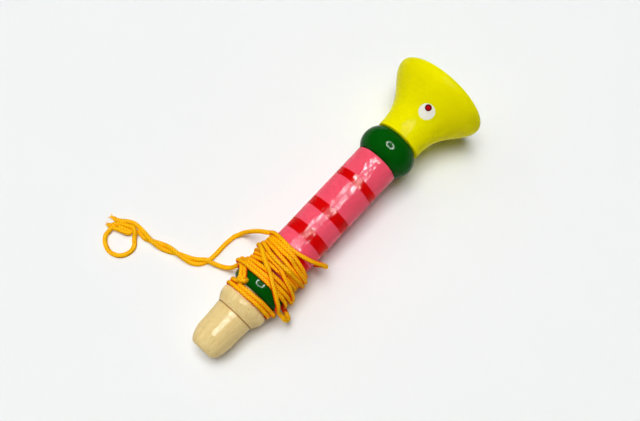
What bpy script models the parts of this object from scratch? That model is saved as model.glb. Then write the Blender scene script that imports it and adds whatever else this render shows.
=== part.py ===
"""Wooden toy trumpet with its neck cord wound round it, lying on a table.

Every wooden piece is a profile spun about the toy's axis. The pieces are glued tenon in bore, and a
beating reed sits inside the mouthpiece. The neck cord is hitched round the neck, wound round the tube,
and its two free strands lie twisted on the table.

Sizes are in millimetres and become metres as each mesh is made. Places along the toy are measured from
the mouthpiece's tip, towards the bell. The table is z = 0.
"""
import math

import bmesh
import bpy
import numpy as np

MM = 0.001
SEAT_GAP = 0.3
SEGMENTS = 40
HALF_STEP = math.pi / SEGMENTS
FLAT_SHARE = math.cos(HALF_STEP)

# Turned wood: places along the axis
COLLAR_START = 16.9
COLLAR_END = 23.0
NECK_END = 26.3
LOWER_BEAD_START = 26.6
LOWER_BEAD_END = 36.0
TUBE_START = 36.3
TUBE_END = 92.3
UPPER_BEAD_START = 92.6
UPPER_BEAD_END = 103.4
BELL_START = 103.7
LIP_PLACE = 127.4
LENGTH = 129.5

# Turned wood: radii
TIP_FACE_RADIUS = 3.9
NOSE_RADIUS = 6.5
NOSE_LENGTH = 4.0
BARREL_RADIUS = 7.6
COLLAR_EDGE_RADIUS = 7.75
COLLAR_RADIUS = 9.5
NECK_RADIUS = 8.2
LOWER_BEAD_RADIUS = 10.3
UPPER_BEAD_RADIUS = 11.0
BEAD_EDGE_RADIUS = 8.5
TUBE_RADIUS = 8.6
BELL_NECK_RADIUS = 9.3
BELL_RADIUS = 19.2
LIP_ROUND = 2.1
EDGE_BREAK = 0.25

# Tenons, bores and the horn's inside
TENON_RADIUS = 5.7
BORE_RADIUS = 6.0
MOUTH_TENON_END = 45.0
BELL_TENON_START = 84.3
BLOW_HOLE_RADIUS = 2.5
CHAMBER_START = 14.0
CHAMBER_RADIUS = 4.2
THROAT_RADIUS = 4.0
HORN_START = 105.0
MOUTH_RADIUS = 15.3
MOUTH_ROUND = 0.6
FLARE_POWER = 1.6
FLARE_CONE_SHARE = 0.05
HORN_POWER = 1.3

# Red stripes painted on the tube, from the tube's hidden end under the cord to the bell
STRIPES = ((41.0, 46.5), (52.2, 56.6), (63.3, 67.3), (78.6, 81.9))

# Reed unit, inside the mouthpiece's chamber
REED_NOSE_START = 17.5
REED_PLUG_START = 33.0
REED_PLUG_END = 44.6
REED_PLUG_RADIUS = 3.9
REED_NOSE_RADIUS = 2.7
REED_FLAT = 0.5
REED_SLOT = (18.6, 30.5)
REED_SLOT_WIDTH = 2.2
REED_SLOT_FLOOR = -1.6
REED_DUCT_START = 29.6
REED_DUCT_RADIUS = 1.2
REED_DUCT_DROP = 1.0
TONGUE_TIP = 17.7
TONGUE_ROOT = 31.2
TONGUE_HINGE = 29.3
TONGUE_WIDTH = 3.2
TONGUE_THICKNESS = 0.15
TONGUE_REST_DEG = 2.2
RING_PLACE = (29.7, 32.6)
RING_BORE_RADIUS = 3.0
RING_FLAT = 1.35

# Neck cord
CORD = 1.6
TURN_PITCH = 2.06
LOOP_POINTS = 24
LOOP_LENGTH = 61.0
WOUND_RESOLUTION = 1
FREE_RESOLUTION = 2
FREE_POINT_STEP = 3.2
LEAD_START_RUN = 1.6
FREE_SAMPLES = 24
KNOT_ANGLE = 26.0
KNOT_PLACE = 26.45
KNOT_LIFT = 0.6
KNOT_HALF = (1.6, 1.8, 1.1)
KNOT_FULLNESS = 3.0
KNOT_LOBE = 0.09
END_KNOT_CENTRE = (-51.8, 55.1, 1.85)
END_KNOT_HALF = (4.8, 2.3, 1.75)
END_KNOT_TURN_DEG = 112.5
REST_STRAND_PLACE = 23.35
FULL_TURN = 360.0

# Routes of the wound cord: angle about the axis from the top towards +Y, place, lift off what carries it
HITCH_ROUTE = (
    (38, 25.42, 0), (60, 25.42, 0), (150, 25.42, 0), (235, 25.35, 0), (290, 24.4, 0), (340, 23.4, 0),
    (390, REST_STRAND_PLACE, 0), (480, REST_STRAND_PLACE, 0), (570, REST_STRAND_PLACE, 0),
    (600, 23.5, 1.2), (630, 23.9, 2.2), (655, 24.5, 2.2), (685, 25.2, 1.2), (710, 25.42, 0.1),
    (734, 25.42, 0))
WINDING_START_ROUTE = (
    (20, 28.9, 0), (28, 30.3, 0), (40, 30.95, 0), (60, 30.95, 0), (90, 30.95, 0), (112, 32.2, 0),
    (130, 34.7, 0), (150, 37.2, 0), (180, 38.6, 0), (270, 38.85, 0), (315, 39.5, 0), (360, 40.9, 0),
    (405, 42.2, 0), (450, 42.62, 0))
HELIX_START_ANGLE = 540
HELIX_START_PLACE = 42.65
HELIX_TURNS = 3
WINDING_END_ROUTE = (
    (50, 0.6, 0.6), (90, 1.8, 2.4), (130, 1.1, 2.2), (180, -0.1, 2.25), (225, -1.0, 2.25), (236, -1.2, 2.25))
CROSS_ROUTE = (
    (34, 28.75, 0), (60, 28.85, 0), (90, 28.9, 0), (110, 29.7, 0), (130, 32.1, 0), (150, 34.6, 0),
    (175, 36.5, 0), (200, 35.9, 0), (218, 33.4, 0.3), (235, 30.7, 2.2), (250, 28.6, 4.0), (264, 27.2, 3.2),
    (281, 27.0, 1.0), (300, 28.9, 0), (325, 31.8, 1.0), (345, 34.2, 2.4), (360, 35.9, 2.4), (385, 38.0, 0.8),
    (410, 39.3, 0), (450, 40.2, 0), (540, 40.62, 0), (600, 40.75, 0), (630, 40.85, 0.3), (652, 40.2, 1.9),
    (668, 39.2, 2.2), (690, 37.0, 0.8), (712, 35.2, 0), (735, 34.1, 0), (755, 33.5, 0), (775, 33.15, 0),
    (790, 33.05, 0))

# Routes of the free cord on the table, in the toy's frame
BELL_SIDE_ROUTE = (
    (-19.2, 13.2, 14.0), (-20.2, 16.5, 9.5), (-21.2, 19.3, 5.5), (-22.4, 21.5, 2.6), (-23.8, 22.6, 1.3),
    (-25.5, 23.1, 0.95), (-28.4, 23.4, 0.9), (-31.9, 23.5, 0.9), (-35.6, 23.2, 0.9), (-39.6, 23.6, 0.9),
    (-42.4, 25.0, 0.9), (-44.1, 27.6, 1.2), (-44.85, 30.4, 2.2), (-45.1, 33.4, 2.9), (-45.2, 36.4, 2.6),
    (-45.5, 39.2, 1.4), (-46.5, 42.0, 0.9), (-47.8, 44.7, 0.9), (-48.9, 47.4, 1.1), (-49.75, 50.0, 1.6))
MOUTH_SIDE_ROUTE = (
    (-32.4, 12.5, 9.8), (-33.4, 13.3, 6.5), (-35.0, 14.6, 4.0), (-36.8, 16.6, 2.5), (-37.9, 18.9, 2.1),
    (-38.9, 21.2, 2.5), (-39.8, 23.7, 2.95), (-41.1, 26.4, 2.3), (-42.3, 28.6, 0.95), (-43.6, 31.2, 0.9),
    (-44.85, 33.9, 0.9), (-46.4, 36.5, 0.9), (-47.6, 39.2, 0.95), (-48.1, 41.8, 2.2), (-48.0, 44.7, 2.95),
    (-47.5, 48.1, 2.2), (-47.0, 51.5, 1.0), (-47.1, 54.5, 0.9), (-48.1, 57.0, 0.9), (-49.5, 58.8, 0.9),
    (-50.7, 60.3, 0.9), (-51.2, 61.9, 0.9), (-51.5, 63.3, 0.9))
END_LOOP_ROUTE = (
    (-51.9, 50.0, 1.35), (-52.3, 49.2, 1.05), (-53.2, 48.2, 0.9), (-55.0, 47.4, 0.9), (-57.4, 47.6, 0.9),
    (-59.7, 49.0, 0.9), (-61.1, 51.7, 0.9), (-61.1, 54.4, 0.9), (-59.9, 57.0, 0.9), (-58.0, 58.7, 1.0),
    (-56.5, 58.95, 1.3), (-55.35, 58.45, 1.6))
TAIL_ROUTE = ((-53.75, 59.85, 1.6), (-54.1, 60.75, 1.3), (-54.45, 61.6, 0.95))


def principled(name, colour, roughness, metallic=0.0):
    """A material with one colour, given as sRGB in 0 to 255."""
    material = bpy.data.materials.new(name)
    material.use_nodes = True
    shader = material.node_tree.nodes["Principled BSDF"]
    linear = [((c / 255 + 0.055) / 1.055) ** 2.4 if c > 10 else c / 255 / 12.92 for c in colour]
    shader.inputs["Base Color"].default_value = (*linear, 1.0)
    shader.inputs["Roughness"].default_value = roughness
    shader.inputs["Metallic"].default_value = metallic
    return material


def smooth_step(u):
    """The S-curve 3u^2 - 2u^3."""
    return u * u * (3 - 2 * u)


def arc(centre_place, centre_radius, radius, start_deg, end_deg, count):
    """Points of an arc in the profile plane; angles run from the bell's direction to outwards."""
    angles = np.radians(np.linspace(start_deg, end_deg, count))
    return [(centre_place + radius * math.cos(a), centre_radius + radius * math.sin(a)) for a in angles]


def bead_arc_radius(start, end, edge_radius, full_radius):
    """Radius of the arc that rises from the edge radius to the full radius at mid-length."""
    half = (end - start) / 2
    rise = full_radius - edge_radius
    return (half * half + rise * rise) / (2 * rise)


def bead_arc(start, end, edge_radius, full_radius, count):
    """Outer profile of a bead: one arc over its length."""
    radius = bead_arc_radius(start, end, edge_radius, full_radius)
    middle = (start + end) / 2
    lean = math.degrees(math.asin((end - start) / 2 / radius))
    return arc(middle, full_radius - radius, radius, 90 + lean, 90 - lean, count)


def barrel_radius(u):
    """Radius of the mouthpiece's barrel from nose to collar: a quarter sine wave."""
    return NOSE_RADIUS + (BARREL_RADIUS - NOSE_RADIUS) * math.sin(u * math.pi / 2)


def flare_radius(u):
    """Outer radius of the bell: a little cone, and an S-curve that opens late."""
    swell = FLARE_CONE_SHARE * u + (1 - FLARE_CONE_SHARE) * smooth_step(u ** FLARE_POWER)
    return BELL_NECK_RADIUS + (BELL_RADIUS - BELL_NECK_RADIUS) * swell


def horn_radius(u):
    """Inner radius of the bell, from throat to mouth."""
    return THROAT_RADIUS + (MOUTH_RADIUS - THROAT_RADIUS) * smooth_step(u ** HORN_POWER)


def mouthpiece_profile():
    """Closed section of the mouthpiece: barrel, collar, neck, tenon, chamber and blow hole."""
    nose = [(NOSE_LENGTH * (1 - math.cos(a)), TIP_FACE_RADIUS + (NOSE_RADIUS - TIP_FACE_RADIUS) * math.sin(a))
            for a in np.radians((0, 25, 50, 75))]
    barrel_end = COLLAR_START - EDGE_BREAK
    barrel = [(NOSE_LENGTH + u * (barrel_end - NOSE_LENGTH), barrel_radius(u)) for u in np.linspace(0, 1, 7)]
    collar = bead_arc(COLLAR_START, COLLAR_END, COLLAR_EDGE_RADIUS, COLLAR_RADIUS, 9)
    groove = [(COLLAR_START, BARREL_RADIUS - EDGE_BREAK)]
    tenon = [(COLLAR_END + EDGE_BREAK, NECK_RADIUS), (NECK_END, NECK_RADIUS), (NECK_END, TENON_RADIUS),
             (MOUTH_TENON_END - EDGE_BREAK, TENON_RADIUS), (MOUTH_TENON_END, TENON_RADIUS - EDGE_BREAK)]
    bore = [(MOUTH_TENON_END, CHAMBER_RADIUS), (CHAMBER_START, CHAMBER_RADIUS),
            (CHAMBER_START - 1.5, BLOW_HOLE_RADIUS), (EDGE_BREAK, BLOW_HOLE_RADIUS),
            (0.0, BLOW_HOLE_RADIUS + EDGE_BREAK)]
    return nose + barrel + groove + collar + tenon + bore


def bead_profile(start, end, full_radius):
    """Closed section of a bead with a straight bore."""
    outer = bead_arc(start, end, BEAD_EDGE_RADIUS, full_radius, 11)
    return outer + [(end, BORE_RADIUS), (start, BORE_RADIUS)]


def tube_profile():
    """Closed section of the tube, with a point at each edge of a painted stripe."""
    stripe_edges = [(place, TUBE_RADIUS) for stripe in STRIPES for place in stripe]
    start = [(TUBE_START, TUBE_RADIUS - EDGE_BREAK), (TUBE_START + EDGE_BREAK, TUBE_RADIUS)]
    end = [(TUBE_END - EDGE_BREAK, TUBE_RADIUS), (TUBE_END, TUBE_RADIUS - EDGE_BREAK)]
    return start + stripe_edges + end + [(TUBE_END, BORE_RADIUS), (TUBE_START, BORE_RADIUS)]


def bell_profile():
    """Closed section of the bell: tenon, shoulder, flare, rounded lip, horn and throat."""
    tenon = [(BELL_TENON_START, TENON_RADIUS - EDGE_BREAK), (BELL_TENON_START + EDGE_BREAK, TENON_RADIUS),
             (BELL_START, TENON_RADIUS), (BELL_START, BELL_NECK_RADIUS - EDGE_BREAK)]
    flare = [(BELL_START + EDGE_BREAK + u * (LIP_PLACE - BELL_START - EDGE_BREAK), flare_radius(u))
             for u in np.linspace(0, 1, 13)]
    lip = arc(LIP_PLACE, BELL_RADIUS - LIP_ROUND, LIP_ROUND, 72, 0, 5)
    mouth_edge = arc(LENGTH - MOUTH_ROUND, MOUTH_RADIUS + MOUTH_ROUND, MOUTH_ROUND, 0, -90, 3)
    horn_end = LENGTH - MOUTH_ROUND
    horn = [(HORN_START + u * (horn_end - HORN_START), horn_radius(u)) for u in np.linspace(1, 0, 11)[1:]]
    return tenon + flare + lip + mouth_edge + horn + [(BELL_TENON_START, THROAT_RADIUS)]


def rest_tilt():
    """Angle of the axis when the bell's lip and the cord round the neck both touch the table.

    Each is a ring of tube: the lip has its rounding for a tube radius, and the cord its own. The lip
    stands on the middle of one of its flats.
    """
    apart = LIP_PLACE - REST_STRAND_PLACE
    drop = (BELL_RADIUS - LIP_ROUND) * FLAT_SHARE - wound_radius(REST_STRAND_PLACE)
    extra = LIP_ROUND * FLAT_SHARE - CORD / 2
    return math.atan2(drop, apart) + math.asin(extra / math.hypot(apart, drop))


def tip_position(tilt):
    """Where the mouthpiece's tip is, with the wooden toy's box centred on the origin."""
    height = wound_radius(REST_STRAND_PLACE) * math.cos(tilt) + CORD / 2 - REST_STRAND_PLACE * math.sin(tilt)
    lowest = -TIP_FACE_RADIUS * FLAT_SHARE * math.sin(tilt)
    lip_angle = np.linspace(0, math.pi / 2, 60)
    lip_place = LIP_PLACE + LIP_ROUND * np.cos(lip_angle)
    lip_radius = BELL_RADIUS - LIP_ROUND + LIP_ROUND * np.sin(lip_angle)
    highest = np.max(lip_place * math.cos(tilt) + lip_radius * FLAT_SHARE * math.sin(tilt))
    return -(lowest + highest) / 2, 0.0, height


def finish(mesh, name, parent):
    """Add the mesh to the scene as one object, shaded smooth with crisp edges."""
    mesh.shade_smooth()
    mesh.set_sharp_from_angle(angle=math.radians(40))
    piece = bpy.data.objects.new(name, mesh)
    bpy.context.scene.collection.objects.link(piece)
    piece.parent = parent
    return piece


def turned(name, profile, materials, parent, stripes=()):
    """Spin a closed section about the axis, with a flat at the top and at the bottom.

    Faces inside a stripe take the second material.
    """
    shape = bmesh.new()
    points = [shape.verts.new((place * MM, radius * math.sin(HALF_STEP) * MM, radius * FLAT_SHARE * MM))
              for place, radius in profile]
    edges = [shape.edges.new((a, b)) for a, b in zip(points, points[1:] + points[:1])]
    bmesh.ops.spin(shape, geom=points + edges, cent=(0, 0, 0), axis=(1, 0, 0), angle=2 * math.pi,
                   steps=SEGMENTS, use_merge=True)
    bmesh.ops.remove_doubles(shape, verts=shape.verts, dist=1e-7)
    shape.normal_update()
    bmesh.ops.recalc_face_normals(shape, faces=shape.faces)
    for face in shape.faces:
        middle = face.calc_center_median()
        outside = math.hypot(middle.y, middle.z) > (BORE_RADIUS + TUBE_RADIUS) / 2 * MM
        if outside and any(start * MM < middle.x < end * MM for start, end in stripes):
            face.material_index = 1
    mesh = bpy.data.meshes.new(name)
    shape.to_mesh(mesh)
    shape.free()
    for material in materials:
        mesh.materials.append(material)
    return finish(mesh, name, parent)


def rod(name, start, end, radius, height, parent, material=None, sides=32):
    """A round bar along the axis, from one place to another."""
    shape = bmesh.new()
    bmesh.ops.create_cone(shape, cap_ends=True, segments=sides, radius1=radius * MM, radius2=radius * MM,
                          depth=(end - start) * MM)
    for vertex in shape.verts:
        x, y, z = vertex.co
        vertex.co = (z + (start + end) / 2 * MM, y, -x + height * MM)
    mesh = bpy.data.meshes.new(name)
    shape.to_mesh(mesh)
    shape.free()
    if material:
        mesh.materials.append(material)
    return finish(mesh, name, parent)


def block(name, low, high, parent, material=None):
    """A box between two corners in the toy's own axes."""
    shape = bmesh.new()
    bmesh.ops.create_cube(shape, size=1.0)
    for vertex in shape.verts:
        vertex.co = [(lo + (c + 0.5) * (hi - lo)) * MM for c, lo, hi in zip(vertex.co, low, high)]
    mesh = bpy.data.meshes.new(name)
    shape.to_mesh(mesh)
    shape.free()
    if material:
        mesh.materials.append(material)
    return finish(mesh, name, parent)


def combine(target, other, operation):
    """Cut or join one object with another, which is kept as a hidden guide."""
    modifier = target.modifiers.new(other.name, "BOOLEAN")
    modifier.operation = operation
    modifier.solver = "EXACT"
    modifier.object = other
    other.hide_render = True
    other.display_type = "WIRE"


def make_reed(axis, plastic, brass):
    """Beating reed: a plug with a half-round trough, a brass tongue over it, and the ring that holds it."""
    body = rod("reed_body", REED_PLUG_START, REED_PLUG_END, REED_PLUG_RADIUS, 0, axis, plastic)
    nose = rod("reed_nose_form", REED_NOSE_START, REED_PLUG_START + 1, REED_NOSE_RADIUS, 0, axis)
    above_flat = block("reed_flat_cutter", (REED_NOSE_START - 1, -5, REED_FLAT), (REED_PLUG_START, 5, 5), axis)
    slot = block("reed_slot_cutter", (REED_SLOT[0], -REED_SLOT_WIDTH / 2, REED_SLOT_FLOOR),
                 (REED_SLOT[1], REED_SLOT_WIDTH / 2, REED_FLAT + 1), axis)
    duct = rod("reed_duct_cutter", REED_DUCT_START, REED_PLUG_END + 1, REED_DUCT_RADIUS, -REED_DUCT_DROP, axis)
    combine(nose, above_flat, "DIFFERENCE")
    combine(body, nose, "UNION")
    combine(body, slot, "DIFFERENCE")
    combine(body, duct, "DIFFERENCE")

    hinge_height = REED_FLAT + SEAT_GAP + TONGUE_THICKNESS / 2
    tongue = block("reed_tongue", (TONGUE_TIP - TONGUE_HINGE, -TONGUE_WIDTH / 2, -TONGUE_THICKNESS / 2),
                   (TONGUE_ROOT - TONGUE_HINGE, TONGUE_WIDTH / 2, TONGUE_THICKNESS / 2), axis, brass)
    tongue.location = (TONGUE_HINGE * MM, 0, hinge_height * MM)
    tongue.rotation_euler = (0, math.radians(TONGUE_REST_DEG), 0)

    ring = rod("reed_ring", *RING_PLACE, REED_PLUG_RADIUS, 0, axis, plastic)
    ring_bore = rod("ring_bore_cutter", RING_PLACE[0] - 1, RING_PLACE[1] + 1, RING_BORE_RADIUS, 0, axis)
    above_bore = block("ring_flat_cutter", (RING_PLACE[0] - 2, -5, RING_FLAT), (RING_PLACE[1] + 2, 5, 5), axis)
    combine(ring_bore, above_bore, "DIFFERENCE")
    combine(ring, ring_bore, "DIFFERENCE")


def carrier_outline():
    """Outer radius of what the cord lies on, sampled along the toy."""
    outer = (bead_arc(COLLAR_START, COLLAR_END, COLLAR_EDGE_RADIUS, COLLAR_RADIUS, 200)
             + [(place, NECK_RADIUS) for place in np.linspace(COLLAR_END, NECK_END, 100)]
             + bead_arc(LOWER_BEAD_START, LOWER_BEAD_END, BEAD_EDGE_RADIUS, LOWER_BEAD_RADIUS, 300)
             + [(place, TUBE_RADIUS) for place in np.linspace(TUBE_START, TUBE_END, 2000)])
    return np.array(outer)


CARRIER = carrier_outline()


def wound_radius(places):
    """Radius of the cord's centre line where it lies on the wood: the outline grown by a rolling ball."""
    reach = CORD / 2 + SEAT_GAP
    away = np.abs(np.atleast_1d(places)[:, None] - CARRIER[None, :, 0])
    grown = CARRIER[None, :, 1] + np.sqrt(np.clip(reach ** 2 - away ** 2, 0, None))
    radii = np.where(away < reach, grown, 0).max(axis=1)
    return radii if np.ndim(places) else float(radii[0])


def monotone_curve(stations, values, at):
    """Cubic through the values that never overshoots them (harmonic mean of the slopes each side)."""
    step = np.diff(stations)
    slope = np.diff(values) / step
    tangent = np.zeros(len(values))
    tangent[0] = slope[0]
    tangent[-1] = slope[-1]
    same_way = slope[:-1] * slope[1:] > 0
    before = 2 * step[1:] + step[:-1]
    after = step[1:] + 2 * step[:-1]
    safe = np.where(same_way, 1, 0)
    weighted = before / np.where(same_way, slope[:-1], 1) + after / np.where(same_way, slope[1:], 1)
    tangent[1:-1] = safe * (before + after) / np.where(same_way, weighted, 1)
    span = np.clip(np.searchsorted(stations, at, side="right") - 1, 0, len(step) - 1)
    s = (at - stations[span]) / step[span]
    return (values[span] * (1 + 2 * s) * (1 - s) ** 2 + step[span] * tangent[span] * s * (1 - s) ** 2
            + values[span + 1] * s * s * (3 - 2 * s) + step[span] * tangent[span + 1] * s * s * (s - 1))


def bridged(radii, reach=7):
    """Running maximum and then a running mean, so that the cord spans hollows in an easy curve."""
    windows = np.lib.stride_tricks.sliding_window_view(np.pad(radii, reach, mode="edge"), 2 * reach + 1)
    weights = np.hanning(2 * reach + 3)[1:-1]
    highest = np.pad(windows.max(axis=1), reach, mode="edge")
    return np.convolve(highest, weights / weights.sum(), mode="valid")


def wound_path(route):
    """Centre line of a wound cord, one point a degree, in the toy's own axes."""
    angle, place, lift = np.array(route, float).T
    degrees = np.arange(angle[0], angle[-1], 1.0)
    places = monotone_curve(angle, place, degrees)
    radii = bridged(wound_radius(places) + monotone_curve(angle, lift, degrees))
    turn = np.radians(degrees)
    return np.stack([places, radii * np.sin(turn), radii * np.cos(turn)], axis=1)


def winding_route():
    """The bell-side half: from the knot to the tube, a helix of whole turns, then a slack last turn."""
    route = list(WINDING_START_ROUTE)
    for turn in range(HELIX_TURNS):
        angle = HELIX_START_ANGLE + FULL_TURN * turn
        place = HELIX_START_PLACE + TURN_PITCH * turn
        route += [(angle, place, 0), (angle + 90, place, 0), (angle + 180, place + TURN_PITCH / 2, 0),
                  (angle + 270, place + TURN_PITCH, 0)]
    angle = HELIX_START_ANGLE + FULL_TURN * HELIX_TURNS
    place = HELIX_START_PLACE + TURN_PITCH * HELIX_TURNS
    route.append((angle, place, 0))
    route += [(angle + turn, place + along, lift) for turn, along, lift in WINDING_END_ROUTE]
    return route


def smooth_path(points):
    """Catmull-Rom curve through the points of a free route."""
    points = np.array(points, float)
    ends = np.vstack([2 * points[0] - points[1], points, 2 * points[-1] - points[-2]])
    a, b, c, d = (ends[i:len(ends) - 3 + i, None, :] for i in range(4))
    u = np.linspace(0, 1, FREE_SAMPLES, endpoint=False)[None, :, None]
    curve = 0.5 * (2 * b + (c - a) * u + (2 * a - 5 * b + 4 * c - d) * u ** 2
                   + (3 * b - a - 3 * c + d) * u ** 3)
    return np.vstack([curve.reshape(-1, 3), points[-1:]])


def even_points(path, step):
    """The path read off at even steps of length."""
    lengths = np.concatenate([[0], np.cumsum(np.linalg.norm(np.diff(path, axis=0), axis=1))])
    at = np.linspace(0, lengths[-1], max(3, round(lengths[-1] / step) + 1))
    return np.stack([np.interp(at, lengths, path[:, k]) for k in range(3)], axis=1)


def print_own_gap(name, path):
    """Print the cord's length and the least gap between its own turns, measured on points."""
    points = even_points(path, CORD / 5)
    apart = np.linalg.norm(points[:, None] - points[None], axis=2)
    order = np.arange(len(points))
    neighbours = np.abs(order[:, None] - order[None]) < 20
    length = np.linalg.norm(np.diff(points, axis=0), axis=1).sum()
    print(f"{name}: {length:.0f} mm long, least gap to itself {apart[~neighbours].min() - CORD:.2f} mm")


def cord_tube(name, points, resolution, material, parent=None):
    """A round cord along the points, with flat ends."""
    curve = bpy.data.curves.new(name, "CURVE")
    curve.dimensions = "3D"
    curve.bevel_depth = CORD / 2 * MM
    curve.bevel_resolution = resolution
    curve.use_fill_caps = True
    spline = curve.splines.new("POLY")
    spline.points.add(len(points) - 1)
    spline.points.foreach_set("co", np.column_stack([points * MM, np.ones(len(points))]).ravel())
    spline.use_smooth = True
    curve.materials.append(material)
    piece = bpy.data.objects.new(name, curve)
    bpy.context.scene.collection.objects.link(piece)
    piece.parent = parent
    return piece


def knot(name, centre, half_sizes, spread, material, parent=None):
    """A pulled-tight knot: a lump with rounded lobes where the strands pass over each other.

    A sphere's points are pushed out to a fuller, blunter form, and thinned by a wave that runs twice
    round the lump and leans along it.
    """
    shape = bmesh.new()
    bmesh.ops.create_uvsphere(shape, u_segments=16, v_segments=10, radius=1.0)
    for vertex in shape.verts:
        ball = np.array(vertex.co)
        along, across, up = ball / (np.abs(ball) ** KNOT_FULLNESS).sum() ** (1 / KNOT_FULLNESS)
        wave = (1 + math.cos(2 * math.atan2(up, across) + 5 * along)) / 2
        thinner = 1 - KNOT_LOBE * (1 - along * along) * wave
        local = np.array((along, across * thinner, up * thinner)) * half_sizes
        vertex.co = (np.array(centre) + local @ spread) * MM
    mesh = bpy.data.meshes.new(name)
    shape.to_mesh(mesh)
    shape.free()
    mesh.materials.append(material)
    return finish(mesh, name, parent)


def lead_after(wound, route, tip, tilt):
    """Points of a free strand that carries on from a wound one, a seat's gap away and straight at first."""
    to_frame = np.array(((math.cos(tilt), 0, math.sin(tilt)), (0, 1, 0), (-math.sin(tilt), 0, math.cos(tilt))))
    before, last = wound[-2:] @ to_frame + tip
    ahead = (last - before) / np.linalg.norm(last - before)
    start = last + ahead * SEAT_GAP
    path = smooth_path(np.vstack([start, start + ahead * LEAD_START_RUN, route]))
    return np.vstack([start, even_points(path[FREE_SAMPLES:], FREE_POINT_STEP)])


def make_cord(axis, tip, tilt, cotton):
    """The neck cord: hitch, knot, wound halves, twisted free strands, end knot, loop and cut end."""
    wound = {}
    for name, route in (("cord_hitch", HITCH_ROUTE), ("cord_winding", winding_route()),
                        ("cord_cross_turns", CROSS_ROUTE)):
        path = wound_path(route)
        print_own_gap(name, path)
        wound[name] = even_points(path, LOOP_LENGTH / LOOP_POINTS)
        cord_tube(name, wound[name], WOUND_RESOLUTION, cotton, axis)

    out = math.radians(KNOT_ANGLE)
    knot_radius = wound_radius(KNOT_PLACE) + KNOT_LIFT
    knot_axes = np.array(((1, 0, 0), (0, math.cos(out), -math.sin(out)), (0, math.sin(out), math.cos(out))))
    knot_centre = (KNOT_PLACE, knot_radius * math.sin(out), knot_radius * math.cos(out))
    knot("cord_knot", knot_centre, KNOT_HALF, knot_axes, cotton, axis)

    for name, before, route in (("cord_lead_bell_side", "cord_winding", BELL_SIDE_ROUTE),
                                ("cord_lead_mouth_side", "cord_cross_turns", MOUTH_SIDE_ROUTE)):
        cord_tube(name, lead_after(wound[before], route, tip, tilt), FREE_RESOLUTION, cotton)
    for name, route in (("cord_end_loop", END_LOOP_ROUTE), ("cord_tail", TAIL_ROUTE)):
        cord_tube(name, even_points(smooth_path(route), FREE_POINT_STEP), FREE_RESOLUTION, cotton)

    turn = math.radians(END_KNOT_TURN_DEG)
    end_axes = np.array(((math.cos(turn), math.sin(turn), 0), (-math.sin(turn), math.cos(turn), 0), (0, 0, 1)))
    knot("cord_end_knot", END_KNOT_CENTRE, END_KNOT_HALF, end_axes, cotton)


def main():
    """Clear the scene and build the toy."""
    for old in list(bpy.data.objects):
        bpy.data.objects.remove(old)

    wood = principled("clear lacquered wood", (226, 205, 150), 0.35)
    green = principled("green lacquer", (8, 98, 14), 0.2)
    pink = principled("pink lacquer", (244, 108, 124), 0.22)
    red = principled("red lacquer", (212, 8, 10), 0.22)
    yellow = principled("yellow lacquer", (230, 219, 4), 0.22)
    plastic = principled("moulded reed plastic", (235, 235, 228), 0.45)
    brass = principled("sheet brass", (200, 165, 80), 0.3, 1.0)
    cotton = principled("braided cord", (238, 160, 8), 0.75)

    tilt = rest_tilt()
    tip = tip_position(tilt)
    axis = bpy.data.objects.new("toy_axis", None)
    axis.location = [c * MM for c in tip]
    axis.rotation_euler = (0, -tilt, 0)
    bpy.context.scene.collection.objects.link(axis)

    turned("mouthpiece", mouthpiece_profile(), [wood], axis)
    turned("lower_bead", bead_profile(LOWER_BEAD_START, LOWER_BEAD_END, LOWER_BEAD_RADIUS), [green], axis)
    turned("body_tube", tube_profile(), [pink, red], axis, STRIPES)
    turned("upper_bead", bead_profile(UPPER_BEAD_START, UPPER_BEAD_END, UPPER_BEAD_RADIUS), [green], axis)
    turned("bell", bell_profile(), [yellow], axis)
    make_reed(axis, plastic, brass)
    make_cord(axis, np.array(tip), tilt, cotton)


main()
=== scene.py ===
"""Looks of a wooden toy trumpet that lies on a pale table with its neck cord wound round it.

The turned wood is a profile carried round the toy's axis, and the cord is a braided circle carried along a
path. Sizes are in millimetres and become metres as each mesh is made. Places along the toy are measured from
the mouthpiece's tip towards the bell, and angles about its axis run from the top towards +Y.
"""
import math

import bpy
import numpy as np
from mathutils import Matrix


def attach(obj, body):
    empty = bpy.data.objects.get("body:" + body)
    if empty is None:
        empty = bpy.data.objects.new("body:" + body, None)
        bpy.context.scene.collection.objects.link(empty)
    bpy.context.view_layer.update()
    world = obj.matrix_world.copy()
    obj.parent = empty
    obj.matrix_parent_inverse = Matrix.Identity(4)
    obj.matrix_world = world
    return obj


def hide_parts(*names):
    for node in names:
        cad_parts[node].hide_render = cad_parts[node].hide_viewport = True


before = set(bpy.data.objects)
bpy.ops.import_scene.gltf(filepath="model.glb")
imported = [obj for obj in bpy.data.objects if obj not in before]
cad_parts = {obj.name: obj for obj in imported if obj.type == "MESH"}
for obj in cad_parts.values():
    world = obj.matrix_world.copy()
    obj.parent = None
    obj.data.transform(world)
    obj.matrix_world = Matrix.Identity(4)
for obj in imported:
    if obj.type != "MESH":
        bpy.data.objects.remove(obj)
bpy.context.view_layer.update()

MM = 0.001
TILT = math.radians(4.9686433)
TIP = np.array((-65.08045085, 0.0, 8.0425711))
SEGMENTS = 160

# The solids have flats. A circle as wide as the middles of their flats rests on the table as they do
SOLID_SEGMENTS = 40
REST_SHARE = math.cos(math.pi / SOLID_SEGMENTS)

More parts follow.
